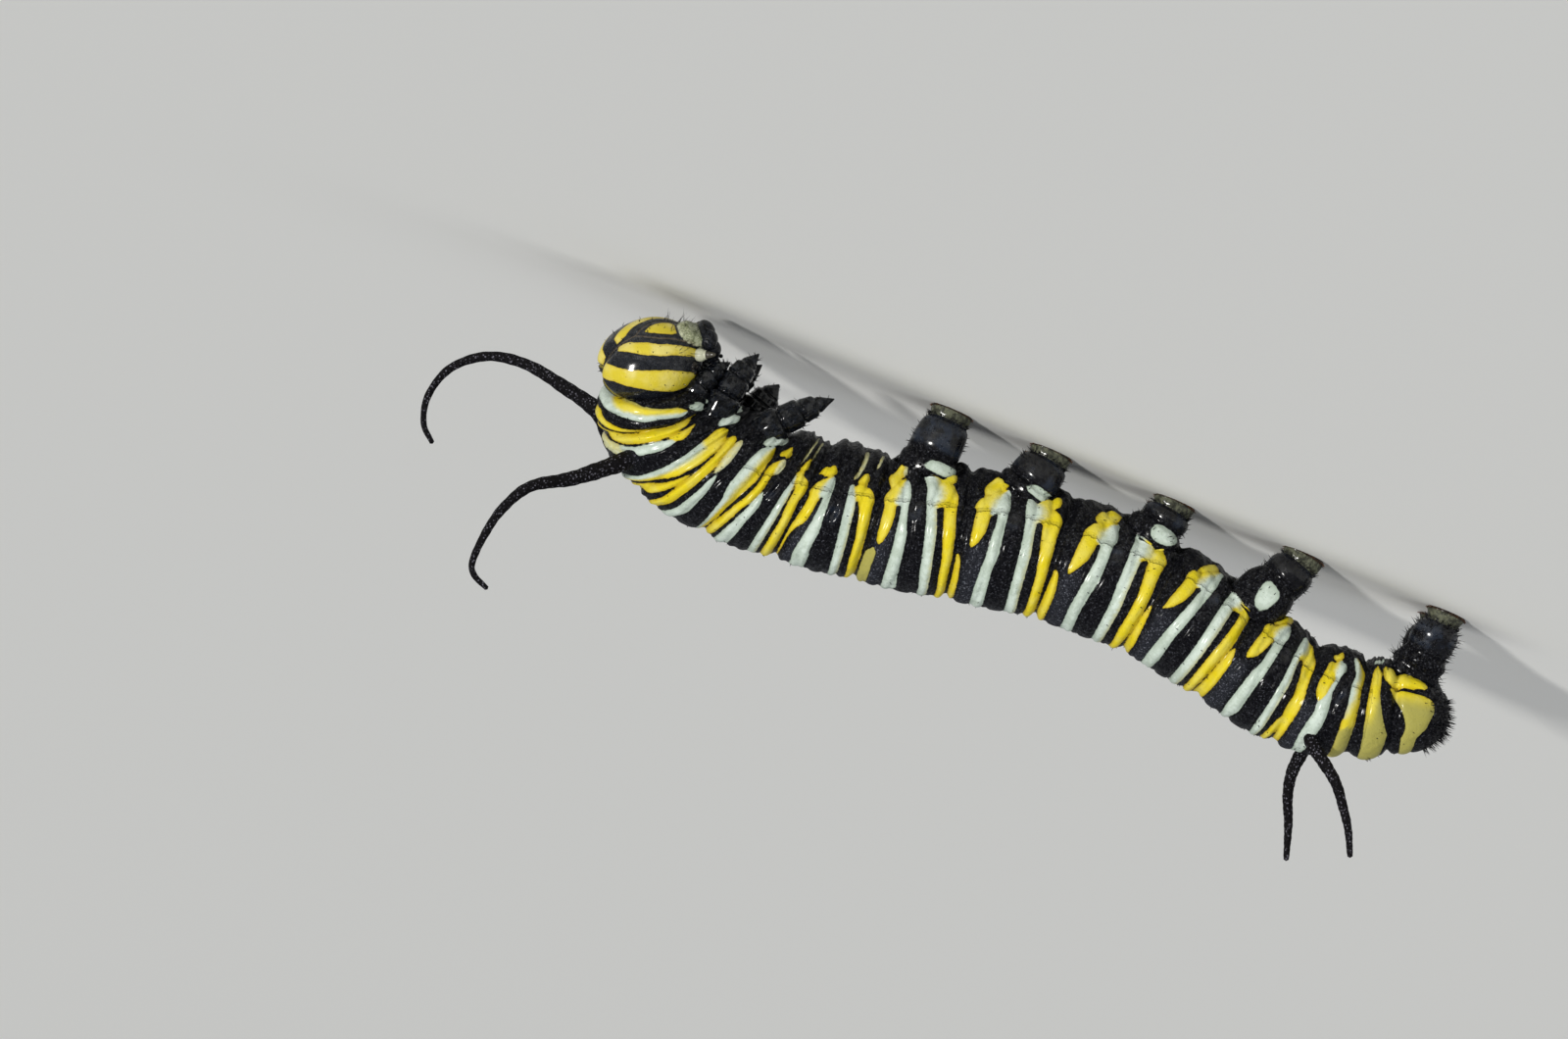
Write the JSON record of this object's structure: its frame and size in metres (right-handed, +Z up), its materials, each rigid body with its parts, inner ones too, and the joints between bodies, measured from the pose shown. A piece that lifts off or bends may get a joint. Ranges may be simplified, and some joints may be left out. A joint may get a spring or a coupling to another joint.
{
  "type": "butterfly larva model",
  "caption": "Still, life-size monarch butterfly larva standing on its prolegs, head bowed and turned aside, with paired soft filaments at front and rear",
  "frame": {"origin": "Middle of the model's box in X and Y, at the level of the soles of the prolegs", "axes": "+X runs forwards along the body to the head, +Y to the larva's left, +Z up from the floor"},
  "size_m": [0.0415, 0.008, 0.0134],
  "materials": {
    "skin": "satin",
    "head_shell": "gloss",
    "jaws": "gloss",
    "leg_shell": "gloss",
    "proleg_skin": "satin",
    "filament_skin": "matte"
  },
  "bodies": {
    "root": {"head": "head_shell", "mouthparts": "jaws", "antenna_left": "jaws", "antenna_right": "jaws", "prothorax": "skin", "mesothorax": "skin", "metathorax": "skin", "abdomen_1": "skin", "abdomen_2": "skin", "abdomen_3": "skin", "abdomen_4": "skin", "abdomen_5": "skin", "abdomen_6": "skin", "abdomen_7": "skin", "abdomen_8": "skin", "abdomen_9": "skin", "anal_segment": "skin", "leg_1_right": "leg_shell", "leg_1_left": "leg_shell", "leg_2_right": "leg_shell", "leg_2_left": "leg_shell", "leg_3_right": "leg_shell", "leg_3_left": "leg_shell", "proleg_3_right": "proleg_skin", "proleg_3_left": "proleg_skin", "proleg_4_right": "proleg_skin", "proleg_4_left": "proleg_skin", "proleg_5_right": "proleg_skin", "proleg_5_left": "proleg_skin", "proleg_6_right": "proleg_skin", "proleg_6_left": "proleg_skin", "anal_proleg_right": "proleg_skin", "anal_proleg_left": "proleg_skin", "front_filament_right_root": "filament_skin", "front_filament_right_middle": "filament_skin", "front_filament_right_tip": "filament_skin", "front_filament_left_root": "filament_skin", "front_filament_left_middle": "filament_skin", "front_filament_left_tip": "filament_skin", "rear_filament_right": "filament_skin", "rear_filament_left": "filament_skin"}
  },
  "joints": []
}
